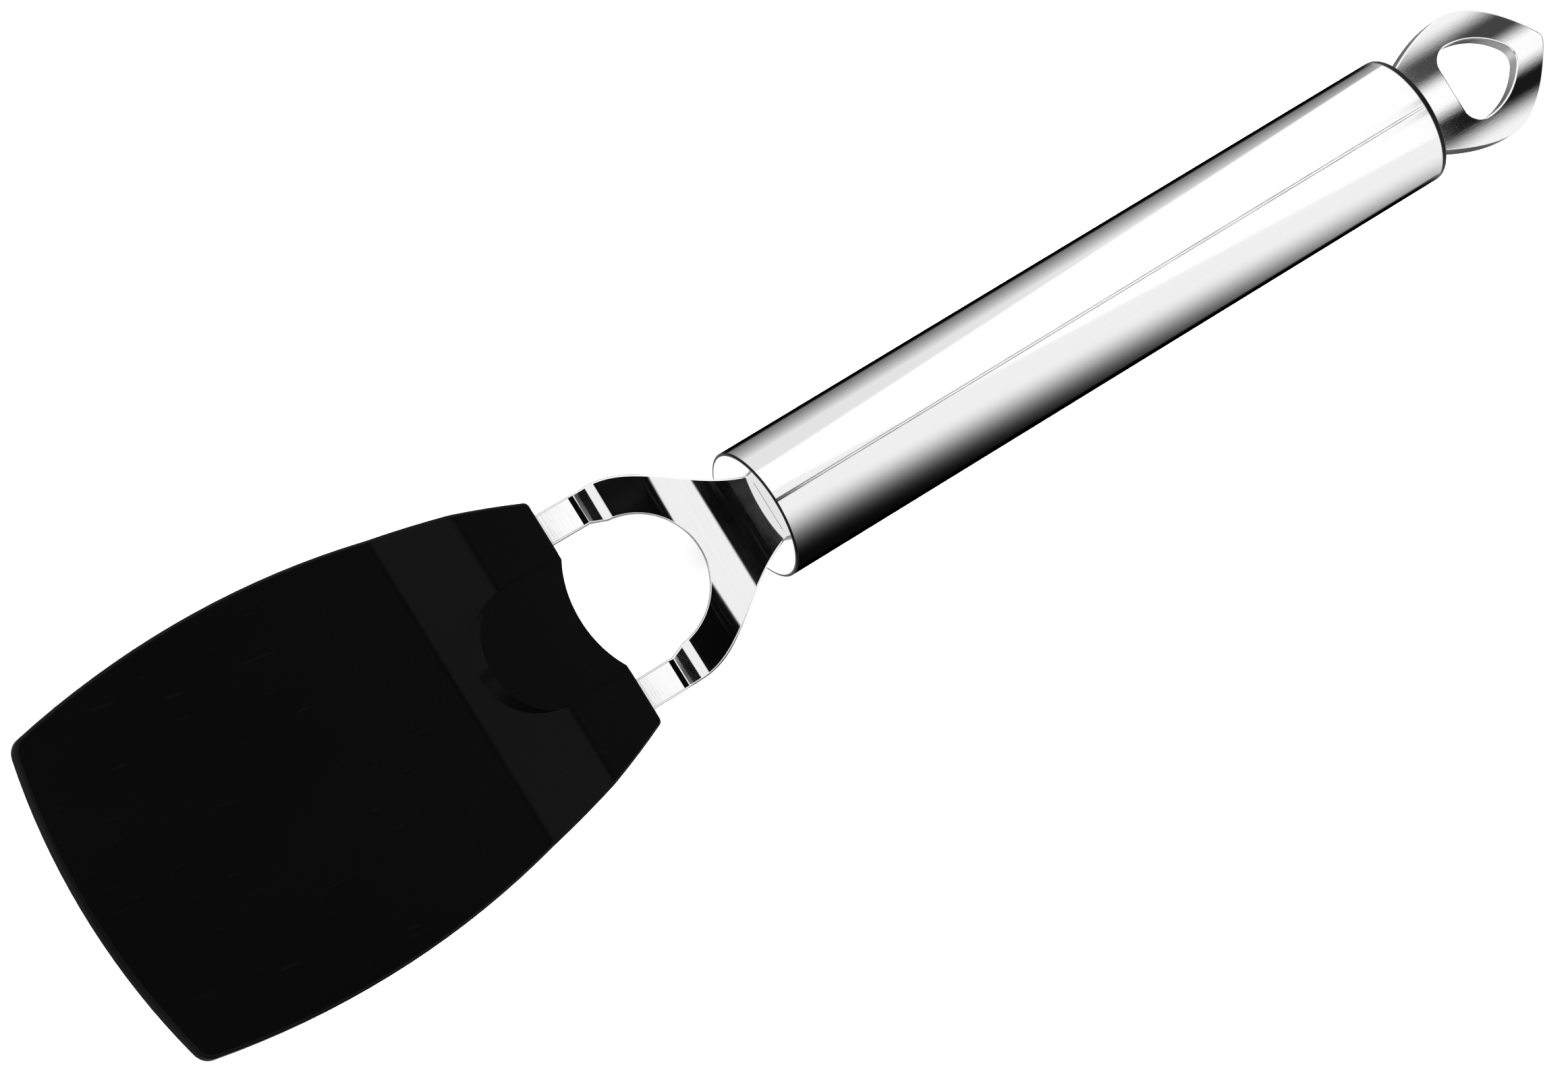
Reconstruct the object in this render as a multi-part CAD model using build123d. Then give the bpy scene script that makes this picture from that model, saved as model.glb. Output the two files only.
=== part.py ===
"""Offset spatula: a moulded black blade on a cranked steel fork, with a hollow handle and a hanging ring.

Millimetres. The blade lies flat with its underside on z = 0, and the handle rises behind it along +X.
The origin is the middle of the blade's underside. Every piece is symmetric about the plane y = 0.
"""

import os
from math import cos, radians, sin, tan

from build123d import *

# ---- Driving dimensions, millimetres and degrees ----

# Blade: one moulding of black nylon
BLADE_LENGTH = 119.2
BLADE_WIDTH = 69.0
WIDEST_FROM_REAR = 72.0
FRONT_EDGE_RADIUS = 105.0
FRONT_CORNER_RADIUS = 3.5
REAR_CORNER_RADIUS = 1.2
SHEET_THICKNESS = 1.6
EDGE_ROUNDING = 0.6
SOCKET_LENGTH = 16.0
SOCKET_SIDE_WALL = 2.6
SOCKET_FLOOR = 1.5
SOCKET_ROOF = 1.4
RAMP_LENGTH = 15.3
RAMP_ROUNDING = 6.0
PAD_DROP = 0.45
PAD_SLOPE = 30.0
PAD_STRAIGHT = 14.1
PAD_WALL = 1.9
NOTCH_DEPTH = 3.5
NOTCH_WIDTH = 21.6

# Fork: one stamping of stainless steel sheet, cranked at two bends
FORK_THICKNESS = 2.4
FORK_WIDTH = 39.6
TINE_WIDTH = 6.1
TINE_END_WALL = 1.6
TINE_OVERHANG = 9.0
TINE_BEND_RADIUS = 7.0
ARM_ANGLE = 50.0
ARM_STRAIGHT = 5.8
NECK_BEND_RADIUS = 26.0
NECK_STRAIGHT = 4.0
NECK_WIDTH = 12.8
STAMP_ANGLE = 40.0
EYE_RADIUS = 12.6
EYE_FROM_BLADE = 10.7
EYE_LEAD_FROM_BLADE = 9.2
EYE_LEAD_END_ANGLE = 83.0
SHOULDER_FROM_BLADE = 12.0
SHOULDER_EASE = 9.3
NECK_EASE = 9.7
NECK_FLARE = 2.8
FORK_EDGE_ROUNDING = 0.35
KEY_HOLE_DIAMETER = 3.2
TANG_WIDTH = 9.4
TANG_LENGTH = 14.0

# Handle: drawn steel tube closed by two pressed cups
HANDLE_ANGLE = 18.8
HANDLE_DIAMETER = 25.0
HANDLE_LENGTH = 150.0
TUBE_WALL = 0.8
TUBE_FRONT_ROUNDING = 0.3
TUBE_REAR_ROUNDING = 0.55
NECK_UNDER_RIM = 4.3
CAP_THICKNESS = 1.2
CAP_SKIRT_LENGTH = 6.0
CAP_SKIRT_WALL = 0.8
SEAM_DEPTH = 0.5

# Hanging ring: cut from plate, with a stem through the rear cap
RING_THICKNESS = 3.6
RING_LENGTH = 33.4
RING_WIDTH = 25.6
RING_WIDEST_AT = 17.0
RING_ROOT_WIDTH = 14.6
RING_ROOT_ANGLE = 63.0
RING_SWELL_PULLS = (0.9, 1.1)
RING_TIP_ANGLE = 151.0
RING_POINT_PULLS = (1.0, 0.9)
RING_TIP_ROUNDING = 1.6
RING_EDGE_ROUNDING = 0.35
RING_HOLE_START = 11.2
RING_HOLE_LENGTH = 15.4
RING_HOLE_WIDTH = 14.4
RING_HOLE_SHOULDER_AT = 8.9
RING_HOLE_SHOULDER_WIDTH = 12.4
RING_HOLE_ROUNDING = 3.2
STEM_WIDTH = 9.0
STEM_LENGTH = 9.0

# Clearances and welds
SLOT_CLEARANCE = 0.1
CAP_CLEARANCE = 0.02
WELD_LEG = 0.9
WELD_TIP_FLAT = 0.02

# ---- Sizes that follow from them ----

REAR_X = BLADE_LENGTH / 2
FRONT_X = -BLADE_LENGTH / 2
REAR_HALF_WIDTH = FORK_WIDTH / 2 + SOCKET_SIDE_WALL
TINE_TOP = SOCKET_FLOOR + FORK_THICKNESS
SOCKET_TOP = TINE_TOP + SOCKET_ROOF
PAD_TOP = SOCKET_TOP - PAD_DROP
TINE_INNER = FORK_WIDTH / 2 - TINE_WIDTH
PAD_HALF_WIDTH = TINE_INNER - PAD_WALL
TINE_GRIP = SOCKET_LENGTH - TINE_END_WALL
BORE_RADIUS = HANDLE_DIAMETER / 2 - TUBE_WALL
CAP_RADIUS = BORE_RADIUS - CAP_CLEARANCE
NECK_ABOVE_AXIS = HANDLE_DIAMETER / 2 - NECK_UNDER_RIM
FAR = 400.0


def along(angle, distance):
    """A step of a length at an angle above a drawing's first axis, which is X for the side view."""
    return Vector(cos(radians(angle)) * distance, sin(radians(angle)) * distance)


def below(angle, distance):
    """A step square to a sheet that rises at an angle, towards its lower face."""
    return Vector(sin(radians(angle)) * distance, -cos(radians(angle)) * distance)


# Upper face of the fork, followed from the tines to the handle in the XZ plane
TINE_TIP = Vector(REAR_X - TINE_GRIP, TINE_TOP)
TINE_BEND = Vector(REAR_X + TINE_OVERHANG, TINE_TOP)
TINE_BEND_CENTRE = TINE_BEND - below(0, TINE_BEND_RADIUS)
ARM_START = TINE_BEND_CENTRE + below(ARM_ANGLE, TINE_BEND_RADIUS)
ARM_END = ARM_START + along(ARM_ANGLE, ARM_STRAIGHT)
NECK_BEND_CENTRE = ARM_END + below(ARM_ANGLE, NECK_BEND_RADIUS)
NECK_START = NECK_BEND_CENTRE - below(HANDLE_ANGLE, NECK_BEND_RADIUS)
NECK_END = NECK_START + along(HANDLE_ANGLE, NECK_STRAIGHT)
TANG_END = NECK_END + along(HANDLE_ANGLE, TANG_LENGTH)
HANDLE_START = NECK_END + below(HANDLE_ANGLE, NECK_ABOVE_AXIS)

# Handle frame: its z runs back along the handle's axis, its x is up, and z = 0 is the front face
HANDLE = Plane(
    origin=(HANDLE_START.X, 0, HANDLE_START.Y),
    x_dir=(-sin(radians(HANDLE_ANGLE)), 0, cos(radians(HANDLE_ANGLE))),
    z_dir=(cos(radians(HANDLE_ANGLE)), 0, sin(radians(HANDLE_ANGLE))),
)

# Stamping frame: its x runs back and up the fork, and the punch cuts along its z
STAMP = Plane(
    origin=(REAR_X, 0, SHEET_THICKNESS),
    x_dir=(cos(radians(STAMP_ANGLE)), 0, sin(radians(STAMP_ANGLE))),
    z_dir=(-sin(radians(STAMP_ANGLE)), 0, cos(radians(STAMP_ANGLE))),
)


# ---- Blade ----


def blade_outline():
    """The blade from above: two long bowed sides, a bowed front edge and a straight rear edge."""
    bow = BLADE_WIDTH / 2 - REAR_HALF_WIDTH
    side_radius = (WIDEST_FROM_REAR**2 + bow**2) / (2 * bow)
    widest_x = REAR_X - WIDEST_FROM_REAR
    offset = side_radius - BLADE_WIDTH / 2
    outline = Pos(widest_x, offset) * Circle(side_radius)
    outline &= Pos(widest_x, -offset) * Circle(side_radius)
    outline &= Pos(FRONT_X + FRONT_EDGE_RADIUS) * Circle(FRONT_EDGE_RADIUS)
    outline &= Pos(REAR_X - BLADE_LENGTH) * Rectangle(2 * BLADE_LENGTH, 2 * BLADE_WIDTH)
    by_x = outline.vertices().sort_by(Axis.X)
    outline = fillet(by_x[:2], FRONT_CORNER_RADIUS)
    rear = outline.vertices().sort_by(Axis.X)[-2:]
    return fillet(rear, REAR_CORNER_RADIUS)


def blade_section():
    """The blade from the side: a thin sheet, a ramp and the thick socket stretch."""
    ramp_end = REAR_X - SOCKET_LENGTH
    ramp_start = ramp_end - RAMP_LENGTH
    corners = [
        (FRONT_X - 1, 0),
        (FRONT_X - 1, SHEET_THICKNESS),
        (ramp_start, SHEET_THICKNESS),
        (ramp_end, SOCKET_TOP),
        (REAR_X + 1, SOCKET_TOP),
        (REAR_X + 1, 0),
    ]
    section = make_face(Polyline(*corners, close=True))
    bends = [v for v in section.vertices() if ramp_start - 0.1 < v.X < ramp_end + 0.1]
    return fillet(bends, RAMP_ROUNDING)


def pad_outline():
    """The round-ended stretch between the two sockets."""
    straight = Pos(REAR_X - PAD_STRAIGHT / 2) * Rectangle(PAD_STRAIGHT, 2 * PAD_HALF_WIDTH)
    return straight + Pos(REAR_X - PAD_STRAIGHT) * Circle(PAD_HALF_WIDTH)


def blade_edges(body):
    """The edges round the top of the blade, without the seams across its ramp."""
    high = [e for e in body.edges() if e.bounding_box().min.Z > SHEET_THICKNESS / 2]
    return [e for e in high if e.bounding_box().size.X > 0.01 or e.center().X > REAR_X - 0.01]


def make_blade(fork):
    """The moulded blade, cast round the fork's tines."""
    outline = extrude(blade_outline(), SOCKET_TOP)
    body = outline & extrude(Plane.XZ * blade_section(), BLADE_WIDTH, both=True)
    body = fillet(blade_edges(body), EDGE_ROUNDING)
    body -= Pos(0, 0, PAD_TOP) * extrude(pad_outline(), SOCKET_TOP)
    pad_foot = offset(pad_outline(), PAD_TOP * tan(radians(PAD_SLOPE)))
    body += outline & extrude(pad_foot, PAD_TOP, taper=PAD_SLOPE)
    notch_radius = (NOTCH_WIDTH**2 / 4 + NOTCH_DEPTH**2) / (2 * NOTCH_DEPTH)
    notch = Pos(REAR_X - NOTCH_DEPTH + notch_radius) * Cylinder(notch_radius, 4 * SOCKET_TOP)
    return body - notch - fork


# ---- Fork ----


def fork_side(depth):
    """The fork's long section at a depth under its upper face, from tine tip to tang end."""
    half_turn = (ARM_ANGLE + HANDLE_ANGLE) / 2
    tine_arc = [below(a, TINE_BEND_RADIUS + depth) for a in (0, ARM_ANGLE / 2, ARM_ANGLE)]
    neck_arc = [below(a, NECK_BEND_RADIUS - depth) for a in (ARM_ANGLE, half_turn, HANDLE_ANGLE)]
    tine_bend = ThreePointArc(*[TINE_BEND_CENTRE + step for step in tine_arc])
    neck_bend = ThreePointArc(*[NECK_BEND_CENTRE - step for step in neck_arc])
    start = TINE_TIP + below(0, depth)
    end = TANG_END + below(HANDLE_ANGLE, depth)
    return [
        Line(start, tine_bend @ 0),
        tine_bend,
        Line(tine_bend @ 1, neck_bend @ 0),
        neck_bend,
        Line(neck_bend @ 1, end),
    ]


def fork_strip():
    """The cranked strip that the fork is stamped from."""
    upper = fork_side(0)
    lower = fork_side(FORK_THICKNESS)
    ends = [Line(upper[0] @ 0, lower[0] @ 0), Line(upper[-1] @ 1, lower[-1] @ 1)]
    section = make_face(Wire(upper + lower + ends))
    return extrude(Plane.XZ * section, FORK_WIDTH, both=True)


def fork_outline():
    """The fork square to its punch: two tines, round shoulders and a flared neck."""
    half = FORK_WIDTH / 2
    handle_at = STAMP.to_local_coords(Vector(NECK_END.X, 0, NECK_END.Y)).X
    shoulder = (SHOULDER_FROM_BLADE, half)
    neck = (handle_at, NECK_WIDTH / 2)
    curve = Bezier(
        shoulder,
        (SHOULDER_FROM_BLADE + SHOULDER_EASE, half),
        (handle_at - NECK_EASE, NECK_WIDTH / 2 + NECK_FLARE),
        neck,
    )
    tail = Line(neck, (handle_at + FAR, NECK_WIDTH / 2))
    side = [Line((-FAR, half), shoulder), curve, tail]
    other = [edge.mirror(Plane.XZ) for edge in side]
    ends = [Line((-FAR, half), (-FAR, -half)), Line(tail @ 1, other[-1] @ 1)]
    return make_face(Wire(side + other + ends))


def fork_opening():
    """The round eye and the gap between the tines, which leads into it."""
    lead_end = Vector(EYE_FROM_BLADE, 0) + along(EYE_LEAD_END_ANGLE, EYE_RADIUS)
    edge = [(-FAR, TINE_INNER), (EYE_LEAD_FROM_BLADE, TINE_INNER), (lead_end.X, lead_end.Y)]
    other = [(x, -y) for x, y in reversed(edge)]
    gap = make_face(Polyline(*edge, *other, close=True))
    return gap + Pos(EYE_FROM_BLADE) * Circle(EYE_RADIUS)


def facing_punch(face):
    """How squarely a face meets the punch: 0 for a wall that it cuts, near 1 for the sheet."""
    return abs(face.normal_at().dot(STAMP.z_dir))


def round_edges(fork):
    """Break the long edges between the fork's two faces and its stamped walls."""
    walls = ShapeList(face for face in fork.faces() if facing_punch(face) < 0.01)
    sheets = ShapeList(face for face in fork.faces() if facing_punch(face) > 0.7)
    wall_edges = set(walls.edges())
    shared = [edge for edge in sheets.edges() if edge in wall_edges]
    return fillet(shared, FORK_EDGE_ROUNDING)


def behind_cap_face():
    """Everything behind the front cap's outer face except the tang's path."""
    block = Pos(0, 0, FAR / 2) * Box(FAR, FAR, FAR)
    return HANDLE.location * (block - Box(FAR, TANG_WIDTH, 3 * FAR))


def key_holes():
    """A hole in each tine that the blade's moulding fills, so that the tines can't pull out."""
    y = FORK_WIDTH / 2 - TINE_WIDTH / 2
    hole = Cylinder(KEY_HOLE_DIAMETER / 2, 4 * SOCKET_TOP)
    x = REAR_X - TINE_GRIP / 2
    return Pos(x, y) * hole + Pos(x, -y) * hole


def make_fork():
    """The stamped and cranked fork with its tang."""
    punch = extrude(STAMP * (fork_outline() - fork_opening()), FAR, both=True)
    fork = round_edges(fork_strip() & punch)
    return fork - behind_cap_face() - key_holes()


# ---- Handle ----


def make_handle_tube():
    """The drawn tube, opened out at both bore ends for the seam welds."""
    tube = Cylinder(HANDLE_DIAMETER / 2, HANDLE_LENGTH, align=(Align.CENTER, Align.CENTER, Align.MIN))
    rims = tube.edges().filter_by(GeomType.CIRCLE).sort_by(Axis.Z)
    tube = fillet(rims[0], TUBE_FRONT_ROUNDING)
    rims = tube.edges().filter_by(GeomType.CIRCLE).sort_by(Axis.Z)
    tube = fillet(rims[-1], TUBE_REAR_ROUNDING)
    tube -= Cylinder(BORE_RADIUS, 3 * HANDLE_LENGTH)
    return HANDLE.location * (tube - seam_ring(0) - seam_ring(HANDLE_LENGTH))


def seam_ring(height):
    """Weld metal in the groove between a cap and the tube, flush with the handle's end."""
    inward = 1 if height == 0 else -1
    corners = [
        (CAP_RADIUS - SEAM_DEPTH, height),
        (BORE_RADIUS + SEAM_DEPTH / 2, height),
        (BORE_RADIUS, height + inward * SEAM_DEPTH),
        (CAP_RADIUS, height + inward * SEAM_DEPTH),
    ]
    return revolve(Plane.XZ * make_face(Polyline(*corners, close=True)), Axis.Z)


def cap_cup():
    """A pressed cup: a flat disc with a skirt that fits inside the tube."""
    floor_up = (Align.CENTER, Align.CENTER, Align.MIN)
    cup = Cylinder(CAP_RADIUS, CAP_SKIRT_LENGTH, align=floor_up)
    inside = Cylinder(CAP_RADIUS - CAP_SKIRT_WALL, CAP_SKIRT_LENGTH, align=floor_up)
    return cup - Pos(0, 0, CAP_THICKNESS) * inside


def make_front_cap():
    """The cup at the front, slotted for the fork's tang."""
    slot_height = FORK_THICKNESS + 2 * SLOT_CLEARANCE
    slot = Box(slot_height, TANG_WIDTH + 2 * SLOT_CLEARANCE, 4 * CAP_THICKNESS)
    cup = cap_cup() - Pos(NECK_ABOVE_AXIS - FORK_THICKNESS / 2) * slot
    return HANDLE.location * (cup - seam_ring(0))


def make_rear_cap():
    """The cup at the rear, slotted for the ring's stem."""
    slot = Box(RING_THICKNESS + 2 * SLOT_CLEARANCE, STEM_WIDTH + 2 * SLOT_CLEARANCE, 4 * CAP_THICKNESS)
    cup = Pos(0, 0, HANDLE_LENGTH) * (Rot(180, 0, 0) * (cap_cup() - slot))
    return HANDLE.location * (cup - seam_ring(HANDLE_LENGTH))


def fillet_weld(thickness, width):
    """A bead round a flat bar where it comes out of a cap, on the cap's inner face."""
    foot = Rectangle(thickness + 2 * WELD_LEG, width + 2 * WELD_LEG)
    bead = extrude(foot, WELD_LEG - WELD_TIP_FLAT, taper=45)
    return bead - Box(thickness, width, 4 * WELD_LEG)


def make_tang_weld(cap):
    """The bead that holds the fork's tang, inside the front cap. It stops where it meets the skirt."""
    bead = fillet_weld(FORK_THICKNESS, TANG_WIDTH)
    place = Pos(NECK_ABOVE_AXIS - FORK_THICKNESS / 2, 0, CAP_THICKNESS)
    return HANDLE.location * (place * bead) - cap


def make_ring_weld(cap):
    """The bead that holds the ring's stem, inside the rear cap. It stops where it meets the skirt."""
    bead = Rot(180, 0, 0) * fillet_weld(RING_THICKNESS, STEM_WIDTH)
    return HANDLE.location * (Pos(0, 0, HANDLE_LENGTH - CAP_THICKNESS) * bead) - cap


# ---- Hanging ring ----


def ring_outline():
    """The ring from above in the handle's frame: x is across, y runs back from the rear cap."""
    half = RING_WIDTH / 2
    root = RING_ROOT_WIDTH / 2
    swell = Spline(
        (root, 0),
        (half, RING_WIDEST_AT),
        tangents=[along(RING_ROOT_ANGLE, 1), (0, 1)],
        tangent_scalars=RING_SWELL_PULLS,
    )
    point = Spline(
        (half, RING_WIDEST_AT),
        (0, RING_LENGTH),
        tangents=[(0, 1), along(RING_TIP_ANGLE, 1)],
        tangent_scalars=RING_POINT_PULLS,
    )
    side = [swell, point]
    other = [edge.mirror(Plane.YZ) for edge in side]
    face = make_face(Wire(side + other + [Line((-root, 0), (root, 0))]))
    return fillet(face.vertices().sort_by(Axis.Y)[-1], RING_TIP_ROUNDING)


def ring_hole():
    """The hanging hole: a round-cornered triangle that points the way the ring does."""
    half = RING_HOLE_WIDTH / 2
    back = RING_HOLE_START + RING_HOLE_LENGTH
    side = ThreePointArc(
        (half, RING_HOLE_START),
        (RING_HOLE_SHOULDER_WIDTH / 2, RING_HOLE_START + RING_HOLE_SHOULDER_AT),
        (0, back),
    )
    base = Line((-half, RING_HOLE_START), (half, RING_HOLE_START))
    face = make_face(Wire([side, side.mirror(Plane.YZ), base]))
    return fillet(face.vertices(), RING_HOLE_ROUNDING)


def make_hanging_ring():
    """The flat ring with the stem that passes through the rear cap."""
    plate = extrude(ring_outline() - ring_hole(), RING_THICKNESS / 2, both=True)
    rims = [e for e in plate.edges() if abs(e.center().Z) > RING_THICKNESS / 2 - 0.01]
    plate = fillet([e for e in rims if e.center().Y > 0.01], RING_EDGE_ROUNDING)
    plate += Pos(0, -STEM_LENGTH / 2) * Box(STEM_WIDTH, STEM_LENGTH, RING_THICKNESS)
    lay = Plane(
        origin=HANDLE.from_local_coords(Vector(0, 0, HANDLE_LENGTH)),
        x_dir=(0, -1, 0),
        z_dir=HANDLE.x_dir,
    )
    return lay.location * plate


# ---- Assembly ----


def main():
    fork = make_fork()
    front_cap = make_front_cap()
    rear_cap = make_rear_cap()
    nodes = {
        "blade": make_blade(fork),
        "fork": fork,
        "front_cap": front_cap,
        "tang_weld": make_tang_weld(front_cap),
        "front_seam_weld": HANDLE.location * seam_ring(0),
        "handle_tube": make_handle_tube(),
        "rear_seam_weld": HANDLE.location * seam_ring(HANDLE_LENGTH),
        "rear_cap": rear_cap,
        "ring_weld": make_ring_weld(rear_cap),
        "hanging_ring": make_hanging_ring(),
    }
    os.makedirs("parts", exist_ok=True)
    for name, shape in nodes.items():
        export_step(shape, f"parts/{name}.step")


main()
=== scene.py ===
"""Looks for an offset spatula: a black nylon blade on a cranked steel fork, with a hollow handle and a ring.

Metres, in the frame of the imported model. The blade lies flat on z = 0 and the handle rises along +X.
"""

from math import cos, pi, radians, sin

import bmesh
import bpy
from bpy.props import FloatProperty, FloatVectorProperty, IntProperty, PointerProperty
from bpy.types import Operator, Panel, PropertyGroup
from mathutils import Matrix, Vector


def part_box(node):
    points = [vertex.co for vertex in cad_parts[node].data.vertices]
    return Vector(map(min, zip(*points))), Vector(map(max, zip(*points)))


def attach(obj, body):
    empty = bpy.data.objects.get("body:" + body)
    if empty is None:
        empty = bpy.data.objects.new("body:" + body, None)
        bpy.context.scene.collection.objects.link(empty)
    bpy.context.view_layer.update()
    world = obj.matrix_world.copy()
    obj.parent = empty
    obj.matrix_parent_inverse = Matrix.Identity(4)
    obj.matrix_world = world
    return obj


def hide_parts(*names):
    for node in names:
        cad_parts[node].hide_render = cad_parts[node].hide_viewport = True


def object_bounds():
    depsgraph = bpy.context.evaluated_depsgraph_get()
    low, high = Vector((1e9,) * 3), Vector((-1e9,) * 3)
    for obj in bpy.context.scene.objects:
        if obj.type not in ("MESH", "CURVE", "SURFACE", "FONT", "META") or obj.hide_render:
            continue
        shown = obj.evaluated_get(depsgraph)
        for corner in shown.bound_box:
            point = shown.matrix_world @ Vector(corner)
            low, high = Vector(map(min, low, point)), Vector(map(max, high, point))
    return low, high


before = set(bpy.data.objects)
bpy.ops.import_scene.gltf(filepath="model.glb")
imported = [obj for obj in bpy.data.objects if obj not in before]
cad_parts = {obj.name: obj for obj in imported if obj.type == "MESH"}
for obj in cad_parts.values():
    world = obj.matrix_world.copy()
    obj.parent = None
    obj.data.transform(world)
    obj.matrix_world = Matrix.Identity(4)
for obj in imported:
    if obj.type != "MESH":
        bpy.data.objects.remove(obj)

bl_info = {
    "name": "Offset spatula",
    "version": (1, 0, 0),
    "blender": (4, 5, 0),
    "location": "View3D > Sidebar > Spatula",
    "description": "Finishes an offset spatula's pieces and sets up a plain studio for it",
    "category": "Object",
}

CAD_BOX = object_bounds()
BODY = "root"


# ---- Where the handle lies ----


class HandleLine:
    """The handle's axis, its front face and its sizes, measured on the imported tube."""

    def __init__(self, tilt):
        self.along = Vector((cos(tilt), 0, sin(tilt)))
        self.up = Vector((-sin(tilt), 0, cos(tilt)))
        points = [v.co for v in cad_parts["handle_tube"].data.vertices]
        runs = [p.dot(self.along) for p in points]
        heights = [p.dot(self.up) for p in points]
        self.length = max(runs) - min(runs)
        self.radius = (max(heights) - min(heights)) / 2
        self.front = self.along * min(runs) + self.up * (max(heights) + min(heights)) / 2

    def placed(self):
        """Turns local z into the handle's axis and local x into its upward side."""
        side = self.along.cross(self.up)
        turn = Matrix((self.up, side, self.along)).transposed().to_4x4()
        return Matrix.Translation(self.front) @ turn


# ---- Sizes and colours that a user would change ----


class NylonLooks(PropertyGroup):
    colour: FloatVectorProperty(
        name="Colour",
        description="Colour of the moulded blade",
        subtype="COLOR",
        size=3,
        min=0,
        max=1,
        default=(0.0007, 0.0007, 0.00075),
    )
    # The rims' lighter colour is partly wear and partly a painted highlight along the rounded edges.
    worn_and_highlight_colour: FloatVectorProperty(
        name="Worn colour",
        description="Colour of the scuffed rims",
        subtype="COLOR",
        size=3,
        min=0,
        max=1,
        default=(0.0035, 0.0035, 0.0037),
    )
    sheen_roughness: FloatProperty(
        name="Roughness",
        description="How dull the moulded surface is",
        subtype="FACTOR",
        min=0,
        max=1,
        default=0.22,
    )
    grain_size: FloatProperty(
        name="Grain size",
        description="Size of the fine texture that the mould leaves",
        unit="LENGTH",
        min=0.00005,
        max=0.005,
        default=0.0006,
    )
    grain_depth: FloatProperty(
        name="Grain depth",
        description="Height of the fine texture that the mould leaves",
        unit="LENGTH",
        min=0,
        max=0.001,
        default=0.00001,
    )
    # How far down the rims' lighter colour reaches. That colour is partly wear and partly a painted
    # highlight.
    edge_wear_and_highlight_depth: FloatProperty(
        name="Edge wear",
        description="How far down from the top face the scuffs on the rims reach",
        unit="LENGTH",
        min=0.0001,
        max=0.001,
        default=0.0004,
    )
    sheet: FloatProperty(
        name="Sheet",
        description="Thickness of the blade's flat part",
        unit="LENGTH",
        min=0.0005,
        max=0.01,
        default=0.0016,
    )


class SteelLooks(PropertyGroup):
    colour: FloatVectorProperty(
        name="Colour",
        description="Colour of the stainless steel",
        subtype="COLOR",
        size=3,
        min=0,
        max=1,
        default=(0.9, 0.9, 0.905),
    )
    polish: FloatProperty(
        name="Fork roughness",
        description="Roughness of the mirror polish on the fork and the ring",
        subtype="FACTOR",
        min=0,
        max=1,
        default=0.035,
    )
    handle_polish: FloatProperty(
        name="Handle roughness",
        description="Roughness of the polish on the handle",
        subtype="FACTOR",
        min=0,
        max=1,
        default=0.05,
    )
    # The rear and front bands are painted shade: a near-black colour along the tube's rims.
    rear_shade_band: FloatProperty(
        name="Rear heat band",
        description="Width of the band that welding has darkened at the tube's rear end",
        unit="LENGTH",
        min=0,
        max=0.01,
        default=0.0012,
    )
    front_shade_band: FloatProperty(
        name="Front heat band",
        description="Width of the band that welding has darkened at the tube's front end",
        unit="LENGTH",
        min=0,
        max=0.01,
        default=0.00028,
    )
    grain_size: FloatProperty(
        name="Grain size",
        description="Spacing of the fine polishing lines",
        unit="LENGTH",
        min=0.00002,
        max=0.005,
        default=0.00022,
    )
    ring_crown: FloatProperty(
        name="Ring crown",
        description="How far the ring's polished faces fall away towards its sides",
        unit="LENGTH",
        min=0,
        max=0.003,
        default=0.0011,
    )


class HandleSizes(PropertyGroup):
    tilt: FloatProperty(
        name="Tilt",
        description="Angle of the handle above the blade",
        subtype="ANGLE",
        default=radians(18.8),
    )
    wall: FloatProperty(
        name="Wall",
        description="Thickness of the tube",
        unit="LENGTH",
        min=0.0003,
        max=0.005,
        default=0.0008,
    )
    front_rounding: FloatProperty(
        name="Front rounding",
        description="Rounding of the rim nearest the blade",
        unit="LENGTH",
        min=0.00005,
        max=0.0005,
        default=0.0003,
    )
    rear_rounding: FloatProperty(
        name="Rear rounding",
        description="Rounding of the rim nearest the ring",
        unit="LENGTH",
        min=0.00005,
        max=0.0005,
        default=0.0005,
    )
    seam_depth: FloatProperty(
        name="Seam depth",
        description="Depth of the groove that the seam weld fills",
        unit="LENGTH",
        min=0.0001,
        max=0.002,
        default=0.0005,
    )
    shading_guard: FloatProperty(
        name="Shading guard",
        description="Width of the narrow ring of faces that keeps the rims' rounding off the straight tube",
        unit="LENGTH",
        min=0.00001,
        max=0.001,
        default=0.00015,
    )
    facets: IntProperty(
        name="Facets",
        description="How many flats the round tube is made of",
        min=24,
        max=512,
        default=224,
    )


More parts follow.
